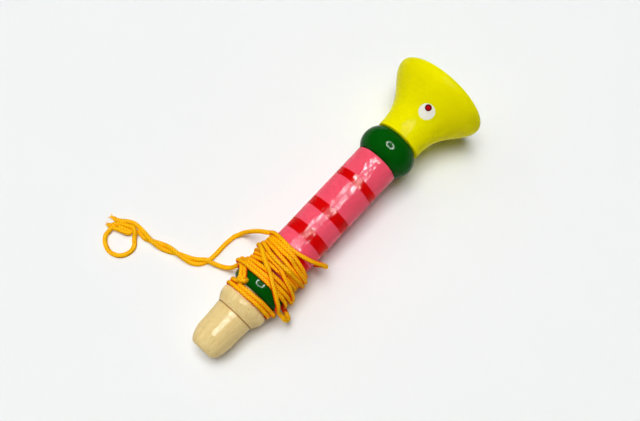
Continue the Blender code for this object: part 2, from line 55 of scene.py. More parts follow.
# Turned wood: places along the axis and radii. The nose, barrel, collar and lower bead follow the
# photograph more closely than the solids do, and differ from them by up to 0.8 mm
COLLAR = (16.9, 23.0, 7.7, 9.55)
COLLAR_CREST = 21.1
NECK_END = 26.3
NECK_RADIUS = 8.2
LOWER_BEAD = (26.6, 36.0, 8.5, 10.3)
LOWER_BEAD_CREST = 29.3
UPPER_BEAD = (92.6, 103.4, 8.5, 11.0)
TUBE = (36.3, 92.3)
TUBE_RADIUS = 8.6
BELL_START = 103.7
LIP_PLACE = 127.4
LENGTH = 129.5
BELL_NECK_RADIUS = 9.3
BELL_RADIUS = 19.2
LIP_ROUND = 2.1
LIP_START_DEG = 82
FLARE_STRAIGHT = 0.05
FLARE_POWER = 1.6
TIP_FACE_RADIUS = 3.6
NOSE_RADIUS = 7.22
NOSE_LENGTH = 8.5
BARREL_RADIUS = 7.6
BARREL_POWER = 1.5
GROOVE = (16.55, 17.0)
GROOVE_EDGE = 0.25
EDGE_BREAK = 0.25
TENON_RADIUS = 5.7
BORE_RADIUS = 6.0
MOUTH_TENON_END = 45.0
BELL_TENON_START = 84.3
BLOW_HOLE_RADIUS = 2.5
CHAMBER_START = 14.0
CHAMBER_RADIUS = 4.2
CHAMBER_CONE = 1.5
THROAT_RADIUS = 4.0
HORN_START = 105.0
MOUTH_RADIUS = 15.3
MOUTH_ROUND = 0.6
HORN_POWER = 1.3
STRIPES = ((41.0, 46.5), (52.2, 56.6), (63.3, 67.3), (78.6, 81.9))

# Painted eye, in the toy's own axes: the one in view, and its pair on the far side
EYE_CENTRE = (115.72, -3.32, 11.49)
EYE_RADIUS = 3.05
PUPIL_CENTRE = (116.93, -2.98, 12.37)
PUPIL_RADIUS = 1.3
PUPIL_RING = 0.6
PAINT_EDGE = 0.16

# Neck cord: its braid, and how its strands press together and stack
CORD = 1.7
PRESS = 0.8
BRAID_YARNS = 4
BRAID_LAY = 4.6
BRAID_RELIEF = 0.1
BRAID_STEP = 0.22
BRAID_SIDES = 24
YARN_MIDDLE = 0.75
YARN_OVER = 0.25
# The next two paint shade on the cord: how much painted light stays between yarns, and how much painted shade
# darkens the sides of wound strands
YARN_SHADE_FLOOR = 0.3
SIDE_SHADE_PAINT = 0.92
LAID_LIFT = 1.9
LOOSE_SPAN = 1.0
ROUTE_STEP_DEG = 2.0
WOUND_RADIUS = 10.4
BRIDGE_REACH = 4
CARRIER_END = 60.0
TABLE_GAP = 0.04
LEAD_OVERLAP = 0.4
CORD_SLOT = "braided_cord"

# Loose yarns at a cut end
FRAY_RADIUS = 0.19
FRAY_TAPER = 0.75
FRAY_BEND = 1.6
FRAY_ROOT = 0.55
FRAY_LOWEST = 0.2
# Painted light on loose yarns, a little into the cord's painted shade colour
FRAY_PAINTED_LIGHT = 0.8

# Wound strands: angle, place, rank (0 lies on the wood, 1 and 2 ride over lower strands), slack off its bed
HITCH = (
    (33, 25.5, 0, 0), (57, 25.4, 0, 0), (110, 25.4, 0, 0), (180, 25.2, 0, 0), (225, 24.4, 0, 0),
    (250, 24.05, 0, 0), (289, 24.0, 0, 0), (318, 23.95, 0, 0), (339, 23.8, 0, 0), (366, 23.65, 0, 0),
    (416, 23.6, 0, 0), (450, 23.6, 0, 0), (500, 23.7, 0, 0), (540, 24.1, 1, 0), (575, 25.1, 1, 0),
    (600, 25.7, 1, 0), (625, 25.75, 0, 0), (653, 25.7, 0, 0), (678, 25.6, 0, 0), (698, 25.4, 0, 0),
    (722, 25.1, 0, 0), (743, 25.0, 0, 0), (750, 25.3, 0, 0.3))
BELL_SIDE_WOUND = (
    (17, 27.2, 0, 0.3), (21, 28.0, 0, 0.1), (26, 29.0, 0, 0), (33, 30.2, 0, 0), (42, 31.2, 0, 0),
    (60, 31.9, 0, 0), (75, 32.2, 0, 0), (130, 33.3, 0, 0), (180, 34.0, 0, 0), (250, 34.9, 0, 0),
    (270, 35.2, 0, 0), (330, 35.1, 0, 0), (361, 34.9, 0, 0), (389, 34.5, 0, 0), (419, 34.2, 0, 0),
    (480, 35.0, 0, 0), (540, 36.0, 0, 0), (600, 37.1, 0, 0), (630, 37.6, 0, 0), (700, 37.4, 0, 0),
    (742, 36.8, 0, 0), (755, 36.3, 0, 0), (780, 35.8, 0, 0), (840, 36.5, 0, 0), (900, 37.6, 0, 0),
    (960, 38.8, 0, 0), (990, 39.2, 0, 0), (1050, 39.1, 0, 0), (1080, 38.8, 0, 0), (1115, 38.0, 0, 0),
    (1140, 37.5, 0, 0), (1200, 38.1, 0, 0), (1260, 39.4, 0, 0), (1320, 40.8, 0, 0), (1350, 41.2, 0, 0),
    (1405, 41.1, 0, 0), (1424, 41.5, 0, 0), (1443, 41.8, 0, 0), (1465, 42.4, 0, 0), (1502, 43.1, 0, 0),
    (1560, 43.3, 0, 0), (1620, 43.4, 0, 0), (1680, 42.6, 1, 0), (1710, 42.1, 1, 0), (1747, 42.2, 1, 0),
    (1765, 42.7, 1, 0), (1782, 43.3, 0, 0), (1803, 43.5, 0, 0), (1830, 44.0, 0, 0), (1862, 44.5, 0, 0),
    (1920, 44.4, 0, 0), (1980, 44.6, 0, 0), (2040, 44.0, 0, 0), (2070, 43.4, 0, 0), (2102, 43.9, 0, 0),
    (2125, 44.5, 0, 0), (2144, 44.9, 0, 0), (2167, 45.0, 0, 0), (2190, 45.3, 0, 0), (2223, 45.8, 0, 0),
    (2280, 46.4, 0, 0), (2340, 47.6, 0, 0), (2395, 50.3, 0, 0.8), (2415, 51.1, 0, 1.9), (2430, 51.0, 0, 3.0),
    (2442, 50.2, 0, 2.4), (2462, 48.4, 0, 1.2), (2483, 47.1, 0, 0.4), (2502, 46.4, 0, 0), (2517, 46.2, 0, 0),
    (2538, 46.5, 0, 0.2), (2556, 46.75, 0, 0.6), (2570, 46.8, 0, 0.9), (2586, 46.7, 0, 1.0))
MOUTH_SIDE_WOUND = (
    (24, 26.5, 0, 0.3), (28, 27.3, 0, 0.1), (35, 28.65, 0, 0), (44, 30.05, 0, 0), (55, 30.9, 0, 0),
    (75, 31.1, 0, 0), (110, 30.4, 0, 0), (180, 30.0, 0, 0), (250, 30.9, 0, 0), (269, 31.3, 0, 0),
    (312, 31.7, 0, 0), (347, 31.8, 0, 0), (372, 31.7, 0, 0), (395, 31.65, 1, 0), (412, 31.6, 1, 0),
    (450, 31.6, 1, 0), (540, 31.8, 0, 0), (575, 31.3, 0, 0.3), (595, 30.3, 0, 1.6), (610, 28.7, 0, 4.0),
    (624, 27.3, 0, 3.4), (641, 27.3, 0, 1.0), (661, 28.7, 1, 0), (676, 30.3, 1, 0), (690, 31.9, 1, 0),
    (700, 33.2, 1, 0), (709, 34.6, 1, 0), (723, 36.0, 2, 0), (735, 37.4, 2, 0), (749, 39.0, 2, 0),
    (774, 40.3, 2, 0), (795, 40.5, 1, 0), (860, 41.0, 0, 0), (900, 41.2, 0, 0), (940, 41.1, 0, 0),
    (978, 40.4, 1, 0), (1013, 39.9, 1, 0), (1049, 39.5, 2, 0), (1068, 39.4, 2, 0), (1083, 39.6, 2, 0),
    (1100, 40.3, 2, 0), (1118, 41.3, 1, 0), (1142, 41.9, 1, 0), (1180, 41.9, 1, 0), (1220, 41.0, 1, 0),
    (1260, 38.8, 1, 0), (1310, 35.6, 1, 0), (1338, 34.2, 1, 0), (1362, 35.2, 1, 0), (1382, 36.0, 1, 0),
    (1400, 36.8, 1, 0), (1414, 37.7, 1, 0), (1424, 38.3, 1, 0), (1440, 38.6, 1, 0), (1470, 38.9, 1, 0),
    (1500, 39.05, 1, 0), (1560, 38.6, 1, 0), (1620, 36.6, 1, 0), (1670, 34.2, 1, 0), (1698, 33.5, 0, 0),
    (1710, 33.5, 0, 0), (1747, 33.3, 0, 0), (1773, 33.3, 0, 0), (1797, 33.15, 0, 0), (1817, 33.0, 0, 0),
    (1838, 32.95, 1, -0.3), (1855, 32.9, 1, -0.5), (1866, 32.8, 1, -0.4))

# Free strands on the table, in the frame's axes
BELL_SIDE_FREE = (
    (-19.69, 11.2, 15.2), (-20.08, 13.5, 12.6), (-20.79, 16.35, 9.2), (-21.81, 18.97, 5.8),
    (-22.96, 21.1, 2.9), (-24.29, 22.25, 1.4), (-25.9, 23.1, 0.95), (-28.4, 23.4, 0.9),
    (-31.9, 23.5, 0.9), (-35.6, 23.3, 0.9), (-39.63, 23.75, 0.9),
    (-42.28, 25.25, 0.9), (-44.0, 27.72, 1.1), (-44.73, 30.52, 2.03), (-45.05, 33.48, 2.57),
    (-45.21, 36.48, 2.4), (-45.57, 39.29, 1.3), (-46.6, 42.06, 0.9), (-47.9, 44.7, 0.9), (-48.9, 47.4, 1.0))
MOUTH_SIDE_FREE = (
    (-33.57, 11.26, 11.2), (-34.61, 12.64, 7.6), (-35.86, 14.34, 4.6), (-37.05, 16.73, 2.6),
    (-37.96, 19, 1.95), (-38.8, 21.2, 2.2), (-39.63, 23.8, 2.62), (-41.28, 26.16, 2.0),
    (-42.5, 28.56, 0.92), (-43.66, 31.26, 0.9),
    (-44.82, 33.96, 0.9), (-46.21, 36.54, 0.9), (-47.32, 39.25, 0.93), (-47.92, 41.88, 2.02),
    (-48.01, 44.74, 2.62), (-47.6, 48.0, 1.9), (-47.2, 51.5, 1.0), (-47.4, 54.3, 0.9), (-48.4, 56.6, 0.9),
    (-49.8, 58.4, 0.9), (-50.8, 60.0, 0.9), (-51.15, 61.6, 0.9))
LEAD_START_RUN = 0.9

# Knot where the free strands meet, on its own axes: along it away from the strands, across towards
# the loop, and up
END_KNOT_CENTRE = np.array((-51.8, 55.1, 0.0))
END_KNOT_TURN = math.radians(112.5)
LEAD_IN_KNOT = (
    (-5.6, -1.2, 1.0), (-4.4, -0.9, 0.95), (-3.0, -0.6, 0.95), (-1.5, -0.5, 1.0),
    (0.5, -0.5, 1.0), (2.5, -0.5, 1.1))
LOOP_IN_KNOT = (
    (-2.6, 0.4, 1.0), (-1.8, 0.8, 1.6), (-0.5, 0.85, 1.95), (1.5, 0.75, 1.9),
    (3.2, 0.65, 1.7), (4.6, 0.9, 1.5))
END_LOOP = (
    (-56.5, 58.95, 1.15), (-58.0, 58.7, 1.0), (-59.9, 57.0, 0.9), (-61.1, 54.4, 0.9), (-61.1, 51.7, 0.9),
    (-59.7, 49.0, 0.9), (-57.4, 47.6, 0.9), (-55.0, 47.4, 0.9), (-53.2, 48.2, 0.9), (-52.3, 49.2, 1.0))
END_KNOT = (
    (-4.75, 1.3, 1.3), (-4.65, 0.3, 2.0), (-4.2, -0.8, 2.5), (-3.4, -1.5, 2.7), (-2.4, -1.75, 2.5),
    (-1.2, -1.75, 2.1), (0.2, -1.75, 1.75), (1.6, -1.8, 1.5), (2.8, -1.6, 1.35),
    (4.0, -0.9, 1.4), (5.1, -0.3, 1.4))
TAIL = ((-53.8, 59.6, 1.4), (-54.05, 60.4, 1.2), (-54.3, 61.0, 1.0))

# Knot at the neck: its place, its angle, how far it leans from straight round the toy, and its wraps
NECK_KNOT_PLACE = 26.75
NECK_KNOT_ANGLE = math.radians(22.5)
NECK_KNOT_RADIUS = 10.3
NECK_KNOT_LEAN = math.radians(34.0)
NECK_KNOT_HALF_TURNS = 3.4
NECK_KNOT_WIDTH = 1.45
NECK_KNOT_STEP = 0.35

# Light: directions from the toy, distances in metres, and radiance for a floor that renders about as written
TABLE_HALF = 20.0
ROOM = 0.04
LAMP_DISTANCE = 4.5
KEY_TOWARD = (-0.03, 0.01, 0.999)
KEY_SIZE = 2.4
KEY_RADIANCE = 9.2
SKY_TOWARD = (-0.05, 0.47, 0.88)
SKY_SIZE = 4.5
SKY_RADIANCE = 0.95
RING_TOWARD = (0.10, -0.09, 0.99)
RING_SPREAD = math.radians(16.0)
RING_LAMPS = 40
RING_LAMP_SIZE = 0.34
RING_RADIANCE = 140.0
DISC_RADIANCE = 6.0

# Camera, solved from the toy's outline in the photograph's 640 by 421 frame
CAMERA_ELEVATION = math.radians(68.56004)
CAMERA_AZIMUTH = math.radians(42.57663)
CAMERA_PLACE = (-97.7746, -86.2849, 350.9120)
CAMERA_LENS = 56.25
CAMERA_SENSOR = 36.0


def linear(colour):
    """An sRGB hex value as linear RGBA."""
    parts = [int(colour[i:i + 2], 16) / 255 for i in (1, 3, 5)]
    return (*[c / 12.92 if c <= 0.04045 else ((c + 0.055) / 1.055) ** 2.4 for c in parts], 1.0)


def add(tree, kind, inputs=None, **settings):
    """Add a node with its settings; an input given as a socket is linked, and any other is set."""
    node = tree.nodes.new("ShaderNode" + kind)
    for key, value in settings.items():
        setattr(node, key, value)
    for key, value in (inputs or {}).items():
        if isinstance(value, bpy.types.NodeSocket):
            tree.links.new(value, node.inputs[key])
        else:
            node.inputs[key].default_value = value
    return node


def new_material(name):
    """An empty node material with its shader, tree and the toy's own coordinates in millimetres."""
    material = bpy.data.materials.new(name)
    material.use_nodes = True
    tree = material.node_tree
    shader = tree.nodes["Principled BSDF"]
    place = add(tree, "TexCoord").outputs["Object"]
    toy = add(tree, "Mapping", {"Vector": place, "Location": TIP * MM, "Rotation": (0, -TILT, 0),
                                "Scale": (MM, MM, MM)}, vector_type="TEXTURE")
    return material, tree, shader, toy.outputs["Vector"]


def to_frame(points):
    """Points in the toy's own axes, turned by its tilt and moved to its tip."""
    turn = np.array(((math.cos(TILT), 0, math.sin(TILT)), (0, 1, 0), (-math.sin(TILT), 0, math.cos(TILT))))
    return points @ turn + TIP


def surface(name, grid, material, uv=None, painted_light=None, ring=False, caps=False):
    """A mesh from grids of points, each closed round its last index; many grids become one mesh.

    A ring closes along its rows too, caps fill the first and last rows, and painted_light is kept as the
    attribute yarn_painted_light, the painted light and shade of a cord's yarns. Faces are turned outwards
    by the sign of the enclosed volume.
    """
    count, rows, columns = (1, *grid.shape[:2]) if grid.ndim == 3 else grid.shape[:3]
    index = np.arange(count * rows * columns).reshape(count, rows, columns)
    below = np.concatenate([index, index[:, :1]], axis=1) if ring else index
    right = np.roll(below, -1, axis=2)
    quads = np.stack([below[:, :-1], right[:, :-1], right[:, 1:], below[:, 1:]], axis=-1).reshape(-1, 4)
    points = grid.reshape(-1, 3) * MM
    corners = points[quads] - points.mean(axis=0)
    volume = np.einsum("ij,ij->", corners[:, 0], np.cross(corners[:, 1], corners[:, 2])
                       + np.cross(corners[:, 2], corners[:, 3]))
    faces = quads.tolist() + (index[:, 0, ::-1].tolist() + index[:, -1].tolist() if caps else [])
    if volume < 0:
        faces = [face[::-1] for face in faces]
    mesh = bpy.data.meshes.new(name)
    mesh.from_pydata(points.tolist(), [], faces)
    mesh.polygons.foreach_set("use_smooth", np.ones(len(mesh.polygons), bool))
    if painted_light is not None:
        mesh.attributes.new("yarn_painted_light", "FLOAT", "POINT").data.foreach_set("value", painted_light.ravel())
    if uv is not None:
        loops = np.empty(len(mesh.loops), int)
        mesh.loops.foreach_get("vertex_index", loops)
        mesh.uv_layers.new(name="cord").data.foreach_set("uv", uv.reshape(-1, 2)[loops].ravel())
    mesh.materials.append(material)
    mesh.update()
    piece = bpy.data.objects.new(name, mesh)
    bpy.context.scene.collection.objects.link(piece)
    return piece


def arc(centre_place, centre_radius, radius, start_deg, end_deg, count):
    """Points of an arc in the profile plane; angles run from the bell's direction to outwards."""
    angles = np.radians(np.linspace(start_deg, end_deg, count))
    return np.column_stack([centre_place + radius * np.cos(angles), centre_radius + radius * np.sin(angles)])


def bead_arc(start, end, edge_radius, full_radius, count):
    """One arc that rises from the edge radius to the full radius at mid-length and falls again."""
    half = (end - start) / 2
    rise = full_radius - edge_radius
    radius = (half * half + rise * rise) / (2 * rise)
    lean = math.degrees(math.asin(half / radius))
    return arc((start + end) / 2, full_radius - radius, radius, 90 + lean, 90 - lean, count)


def smooth_step(u):
    """The S-curve 3u^2 - 2u^3."""
    return u * u * (3 - 2 * u)


def collar_arc(count):
    """The collar's outside: a quarter sine up to its crest, then a quarter superellipse of power 3 down."""
    start, end, edge_radius, full_radius = COLLAR
    u = np.linspace(0, math.pi / 2, count)
    rise = np.column_stack([start + (COLLAR_CREST - start) * u * 2 / math.pi,
                            edge_radius + (full_radius - edge_radius) * np.sin(u)])
    fall = np.column_stack([COLLAR_CREST + (end - COLLAR_CREST) * np.sin(u) ** (2 / 3),
                            edge_radius + (full_radius - edge_radius) * np.cos(u) ** (2 / 3)])
    return np.vstack([rise, fall[1:]])


def mouthpiece_profile():
    """Closed section: a quarter-ellipse nose, a barrel that flares as u to the 1.5, the collar, neck,
    tenon and bore."""
    a = np.radians(np.linspace(0, 90, 20))
    nose = np.column_stack([NOSE_LENGTH * (1 - np.cos(a)),
                            TIP_FACE_RADIUS + (NOSE_RADIUS - TIP_FACE_RADIUS) * np.sin(a)])
    u = np.linspace(0, 1, 24)
    barrel_end = COLLAR[0] - EDGE_BREAK
    barrel = np.column_stack([NOSE_LENGTH + u * (barrel_end - NOSE_LENGTH),
                              NOSE_RADIUS + (BARREL_RADIUS - NOSE_RADIUS) * u ** BARREL_POWER])[1:]
    groove = [(COLLAR[0], BARREL_RADIUS - EDGE_BREAK)]
    tenon = [(COLLAR[1] + EDGE_BREAK, NECK_RADIUS), (NECK_END, NECK_RADIUS), (NECK_END, TENON_RADIUS),
             (MOUTH_TENON_END - EDGE_BREAK, TENON_RADIUS), (MOUTH_TENON_END, TENON_RADIUS - EDGE_BREAK)]
    bore = [(MOUTH_TENON_END, CHAMBER_RADIUS), (CHAMBER_START, CHAMBER_RADIUS),
            (CHAMBER_START - CHAMBER_CONE, BLOW_HOLE_RADIUS), (EDGE_BREAK, BLOW_HOLE_RADIUS),
            (0.0, BLOW_HOLE_RADIUS + EDGE_BREAK)]
    return np.vstack([nose, barrel, groove, collar_arc(24), tenon, bore])


def lower_bead_arc():
    """The lower bead's outside: a quarter ellipse up to its crest, then a longer quarter cosine wave down."""
    start, end, edge, full = LOWER_BEAD
    rise = np.radians(np.linspace(0, 90, 24))
    up = np.column_stack([LOWER_BEAD_CREST - (LOWER_BEAD_CREST - start) * np.cos(rise),
                          edge + (full - edge) * np.sin(rise)])
    fall = np.linspace(0, 1, 30)[1:]
    down = np.column_stack([LOWER_BEAD_CREST + (end - LOWER_BEAD_CREST) * fall,
                            edge + (full - edge) * np.cos(fall * math.pi / 2)])
    return np.vstack([up, down])


def bead_profile(outside):
    """Closed section of a bead with a straight bore."""
    return np.vstack([outside, [(outside[-1, 0], BORE_RADIUS), (outside[0, 0], BORE_RADIUS)]])


def tube_profile():
    """Closed section of the tube, with broken edges."""
    start, end = TUBE
    u = np.linspace(start + EDGE_BREAK, end - EDGE_BREAK, 40)
    outer = np.column_stack([u, np.full_like(u, TUBE_RADIUS)])
    return np.vstack([[(start, TUBE_RADIUS - EDGE_BREAK)], outer, [(end, TUBE_RADIUS - EDGE_BREAK),
                                                                 (end, BORE_RADIUS), (start, BORE_RADIUS)]])


def bell_profile():
    """Closed section of the bell: tenon, S-curve flare that opens late, round lip, S-curve horn, throat."""
    tenon = [(BELL_TENON_START, TENON_RADIUS - EDGE_BREAK), (BELL_TENON_START + EDGE_BREAK, TENON_RADIUS),
             (BELL_START, TENON_RADIUS), (BELL_START, BELL_NECK_RADIUS - EDGE_BREAK)]
    u = np.linspace(0, 1, 60)
    swell = FLARE_STRAIGHT * u + (1 - FLARE_STRAIGHT) * smooth_step(u ** FLARE_POWER)
    flare_start = BELL_START + EDGE_BREAK
    flare = np.column_stack([flare_start + u * (LIP_PLACE - flare_start),
                             BELL_NECK_RADIUS + (BELL_RADIUS - BELL_NECK_RADIUS) * swell])
    lip = arc(LIP_PLACE, BELL_RADIUS - LIP_ROUND, LIP_ROUND, LIP_START_DEG, 0, 12)
    edge = arc(LENGTH - MOUTH_ROUND, MOUTH_RADIUS + MOUTH_ROUND, MOUTH_ROUND, 0, -90, 6)
    u = np.linspace(1, 0, 50)[1:]
    horn = np.column_stack([HORN_START + u * (LENGTH - MOUTH_ROUND - HORN_START),
                            THROAT_RADIUS + (MOUTH_RADIUS - THROAT_RADIUS) * smooth_step(u ** HORN_POWER)])
    return np.vstack([tenon, flare, lip, edge, horn, [(BELL_TENON_START, THROAT_RADIUS)]])


def eased(profile, reach=0.1):
    """Each corner of a closed section cut back a little along both its sides, so that edges catch light."""
    before = np.roll(profile, 1, axis=0) - profile
    after = np.roll(profile, -1, axis=0) - profile
    back, on = (side * np.minimum(reach / np.linalg.norm(side, axis=1, keepdims=True), 0.3)
                for side in (before, after))
    return np.stack([profile + back, profile + on], axis=1).reshape(-1, 2)


def turned(name, profile, material):
    """Turned wood: the closed section carried round the axis, as (place, r sin a, r cos a) for each a."""
    section = eased(profile)
    angle = np.linspace(0, 2 * math.pi, SEGMENTS, endpoint=False)
    radius = section[:, 1:] * REST_SHARE
    grid = np.stack([np.broadcast_to(section[:, :1], radius.shape[:1] + angle.shape),
                     radius * np.sin(angle), radius * np.cos(angle)], axis=-1)
    return surface(name, to_frame(grid), material, ring=True)


def even_points(path, step):
    """The path read off at even steps of length."""
    lengths = np.concatenate([[0], np.cumsum(np.linalg.norm(np.diff(path, axis=0), axis=1))])
    at = np.linspace(0, lengths[-1], max(3, round(lengths[-1] / step) + 1))
    return np.stack([np.interp(at, lengths, column) for column in path.T], axis=1)


def outline():
    """Outer profile of the wood that carries the cord, sampled finely."""
    neck = np.linspace(COLLAR[1], NECK_END, 100)
    tube = np.linspace(TUBE[0], CARRIER_END, 900)
    return np.vstack([collar_arc(100), np.column_stack([neck, np.full_like(neck, NECK_RADIUS)]),
                      even_points(lower_bead_arc(), 0.03),
                      np.column_stack([tube, np.full_like(tube, TUBE_RADIUS)])])


CARRIER = outline()


def bed_radius(places):
    """Radius of the cord's centre line on bare wood: the outline grown by a ball of the cord's radius."""
    reach = CORD / 2
    away = np.abs(places[:, None] - CARRIER[None, :, 0])
    grown = CARRIER[None, :, 1] + np.sqrt(np.clip(reach ** 2 - away ** 2, 0, None))
    return np.where(away < reach, grown, 0).max(axis=1)


def monotone_curve(stations, values, at):
    """Cubic through the values that never overshoots them (harmonic mean of the slopes each side)."""
    step = np.diff(stations)
    slope = np.diff(values) / step
    same_way = slope[:-1] * slope[1:] > 0
    before = 2 * step[1:] + step[:-1]
    after = step[1:] + 2 * step[:-1]
    weighted = before / np.where(same_way, slope[:-1], 1) + after / np.where(same_way, slope[1:], 1)
    inner = np.where(same_way, (before + after) / np.where(same_way, weighted, 1), 0)
    tangent = np.concatenate([slope[:1], inner, slope[-1:]])
    span = np.clip(np.searchsorted(stations, at, side="right") - 1, 0, len(step) - 1)
    s = (at - stations[span]) / step[span]
    return (values[span] * (1 + 2 * s) * (1 - s) ** 2 + step[span] * tangent[span] * s * (1 - s) ** 2
            + values[span + 1] * s * s * (3 - 2 * s) + step[span] * tangent[span + 1] * s * s * (s - 1))


def bridged(radii, reach):
    """Running maximum and then a weighted running mean, so that the cord spans hollows in an easy curve."""
    windows = np.lib.stride_tricks.sliding_window_view(np.pad(radii, reach, mode="edge"), 2 * reach + 1)
    weights = np.hanning(2 * reach + 3)[1:-1]
    highest = np.pad(windows.max(axis=1), reach, mode="edge")
    return np.convolve(highest, weights / weights.sum(), mode="valid")


def laid(*routes):
    """Centre lines of wound strands that lie on the wood and over each other.

    Each strand starts on the wood. Then, rank by rank, a point is raised over every lower strand within a
    cord's width of it, to that strand's radius plus sqrt(width^2 - distance^2). Last, each strand is
    bridged into easy humps, and its slack is added.
    """
    degrees, places, ranks, slacks = [], [], [], []
    for route in routes:
        angle, place, rank, slack = np.array(route, float).T
        at = np.arange(angle[0], angle[-1] + ROUTE_STEP_DEG / 2, ROUTE_STEP_DEG)
        degrees.append(at)
        places.append(monotone_curve(angle, place, at))
        ranks.append(rank[np.clip(np.searchsorted(angle, at, side="right") - 1, 0, len(rank) - 1)])
        slacks.append(monotone_curve(angle, slack, at))
    cuts = np.cumsum([len(at) for at in degrees])[:-1]
    turn, place, rank = np.radians(np.concatenate(degrees)), np.concatenate(places), np.concatenate(ranks)
    raw = bed_radius(place)
    radius = raw
    width = CORD * PRESS
    for level in range(1, int(rank.max()) + 1):
        upper, lower = np.flatnonzero(rank == level), np.flatnonzero(rank < level)
        across = (turn[upper, None] - turn[None, lower] + math.pi) % (2 * math.pi) - math.pi
        apart = (across * WOUND_RADIUS) ** 2 + (place[upper, None] - place[None, lower]) ** 2
        rise = np.where(apart < width ** 2, radius[lower] + np.sqrt(np.clip(width ** 2 - apart, 0, None)), 0)
        raw[upper] = np.maximum(raw[upper], rise.max(axis=1))
        radius = np.concatenate([bridged(part, BRIDGE_REACH) for part in np.split(raw, cuts)])
    radius = radius + np.concatenate(slacks)
    lines = np.stack([place, radius * np.sin(turn), radius * np.cos(turn)], axis=1)
    return np.split(lines, cuts)


def above_table(line):
    """Points kept a cord's radius above the table, where the cord is pressed between toy and table."""
    return np.column_stack([line[:, :2], np.maximum(line[:, 2], CORD / 2 + TABLE_GAP)])


def in_knot(points):
    """Points given along, across and up the end knot, in the frame's axes."""
    c, d = math.cos(END_KNOT_TURN), math.sin(END_KNOT_TURN)
    return END_KNOT_CENTRE + np.array(points, float) @ np.array(((c, d, 0), (-d, c, 0), (0, 0, 1)))


def smooth_path(points, samples=24):
    """Catmull-Rom curve through the points of a free route."""
    points = np.array(points, float)
    ends = np.vstack([2 * points[0] - points[1], points, 2 * points[-1] - points[-2]])
    a, b, c, d = (ends[i:len(ends) - 3 + i, None, :] for i in range(4))
    u = np.linspace(0, 1, samples, endpoint=False)[None, :, None]
    curve = 0.5 * (2 * b + (c - a) * u + (2 * a - 5 * b + 4 * c - d) * u ** 2
                   + (3 * b - a - 3 * c + d) * u ** 3)
    return np.vstack([curve.reshape(-1, 3), points[-1:]])


def path_length(path):
    """Length of a path, as the sum of its chords."""
    return float(np.linalg.norm(np.diff(path, axis=0), axis=1).sum())


def unit(vectors):
    """Vectors brought to length 1."""
    return vectors / np.linalg.norm(vectors, axis=-1, keepdims=True)


def braided(name, path, material, aside, ease=0.0, side_shade=0.0):
    """A braided cord: a circle carried along the path, raised where a yarn lies on top.

    Yarns wind both ways: their phases are yarns x (u + v / lay) and yarns x (u - v / lay), for u round the
    cord and v along it. Each yarn is a half sine wave, and at alternate crossings one way lies over the
    other. The vector aside sets where u starts. With ease, the ends close in a quarter circle that long.
    The yarns' height is also kept as painted light, with painted shade between the yarns, and side_shade
    is how much painted shade darkens it towards the sides, where strands press together.
    """
    line = even_points(path, BRAID_STEP)
    tangent = unit(np.gradient(line, axis=0))
    out = np.broadcast_to(np.asarray(aside, float), line.shape)
    out = unit(out - (out * tangent).sum(axis=1, keepdims=True) * tangent)
    side = np.cross(tangent, out)
    u = np.linspace(0, 1, BRAID_SIDES, endpoint=False)[None, :]
    v = (np.arange(len(line)) * path_length(line) / (len(line) - 1))[:, None]
    one_way, other_way = BRAID_YARNS * (u + v / BRAID_LAY), BRAID_YARNS * (u - v / BRAID_LAY)
    over = 1 - 2 * ((np.floor(one_way) + np.floor(other_way)) % 2)
    height = np.maximum(np.sin(math.pi * (one_way % 1)) * (YARN_MIDDLE + YARN_OVER * over),
                        np.sin(math.pi * (other_way % 1)) * (YARN_MIDDLE - YARN_OVER * over))
    angle = 2 * math.pi * u
    radius = CORD / 2 + BRAID_RELIEF * (height - YARN_MIDDLE)
    # Painted shade: darker towards the sides of a strand, and between yarns no lighter than the floor value
    pressed = np.reshape(side_shade, (-1, 1)) * (1 - smooth_step(np.clip(np.cos(angle), 0, 1)))
    height = (YARN_SHADE_FLOOR + (1 - YARN_SHADE_FLOOR) * height) * (1 - pressed)
    if ease:
        ahead = np.minimum(v, v[-1] - v) / ease
        radius = radius * np.sqrt(np.clip(1 - (1 - np.clip(ahead, 0.02, 1)) ** 2, 0, 1))
    grid = (line[:, None, :] + (radius * np.cos(angle))[..., None] * out[:, None, :]
            + (radius * np.sin(angle))[..., None] * side[:, None, :])
    uv = np.stack(np.broadcast_arrays(u, v), axis=-1)
    return surface(name, grid, material, uv=uv, painted_light=height, caps=True)


def frayed(name, root, ahead, length, spread, count, material, seed):
    """Loose yarns at a cut end: tapering tubes that fan out from the root and bend further as they go."""
    chance = np.random.default_rng(seed)
    ahead = unit(np.array(ahead, float))
    across = unit(np.cross(ahead, (0, 0, 1)))
    above = np.cross(across, ahead)
    fan = np.column_stack([np.linspace(-spread, spread, count) + chance.normal(0, spread / 5, count),
                           chance.normal(0, spread / 3, count)])
    reach = length * chance.uniform(0.6, 1.0, count)
    start = chance.uniform(-0.5, 0.5, (count, 2)) * CORD * FRAY_ROOT
    s = np.linspace(0, 1, 9)
    line = (np.array(root) + start[:, None, :1] * across + start[:, None, 1:] * above
            + (reach[:, None] * s)[..., None] * ahead
            + (reach[:, None] * fan[:, :1] * s ** FRAY_BEND)[..., None] * across
            + (reach[:, None] * fan[:, 1:] * s ** FRAY_BEND)[..., None] * above)
    line[..., 2] = np.maximum(line[..., 2], FRAY_LOWEST)
    angle = np.linspace(0, 2 * math.pi, 8, endpoint=False)
    thick = FRAY_RADIUS * (1 - FRAY_TAPER * s ** 2)[None, :, None, None]
    grid = line[:, :, None, :] + thick * (np.cos(angle)[:, None] * across + np.sin(angle)[:, None] * above)
    # Loose yarns get one even level of painted light
    return surface(name, grid, material, painted_light=np.full(grid.shape[:3], FRAY_PAINTED_LIGHT), caps=True)


def lacquer_bump(tree, toy, ripple_mm, depth_mm, seed):
    """Ripples left in brushed or dipped lacquer, as a normal."""
    ripple = add(tree, "TexNoise", {"Vector": toy, "W": seed, "Scale": 1 / ripple_mm, "Detail": 0.0},
                 noise_dimensions="4D")
    return add(tree, "Bump", {"Height": ripple.outputs["Fac"], "Strength": 1.0, "Distance": depth_mm * MM})


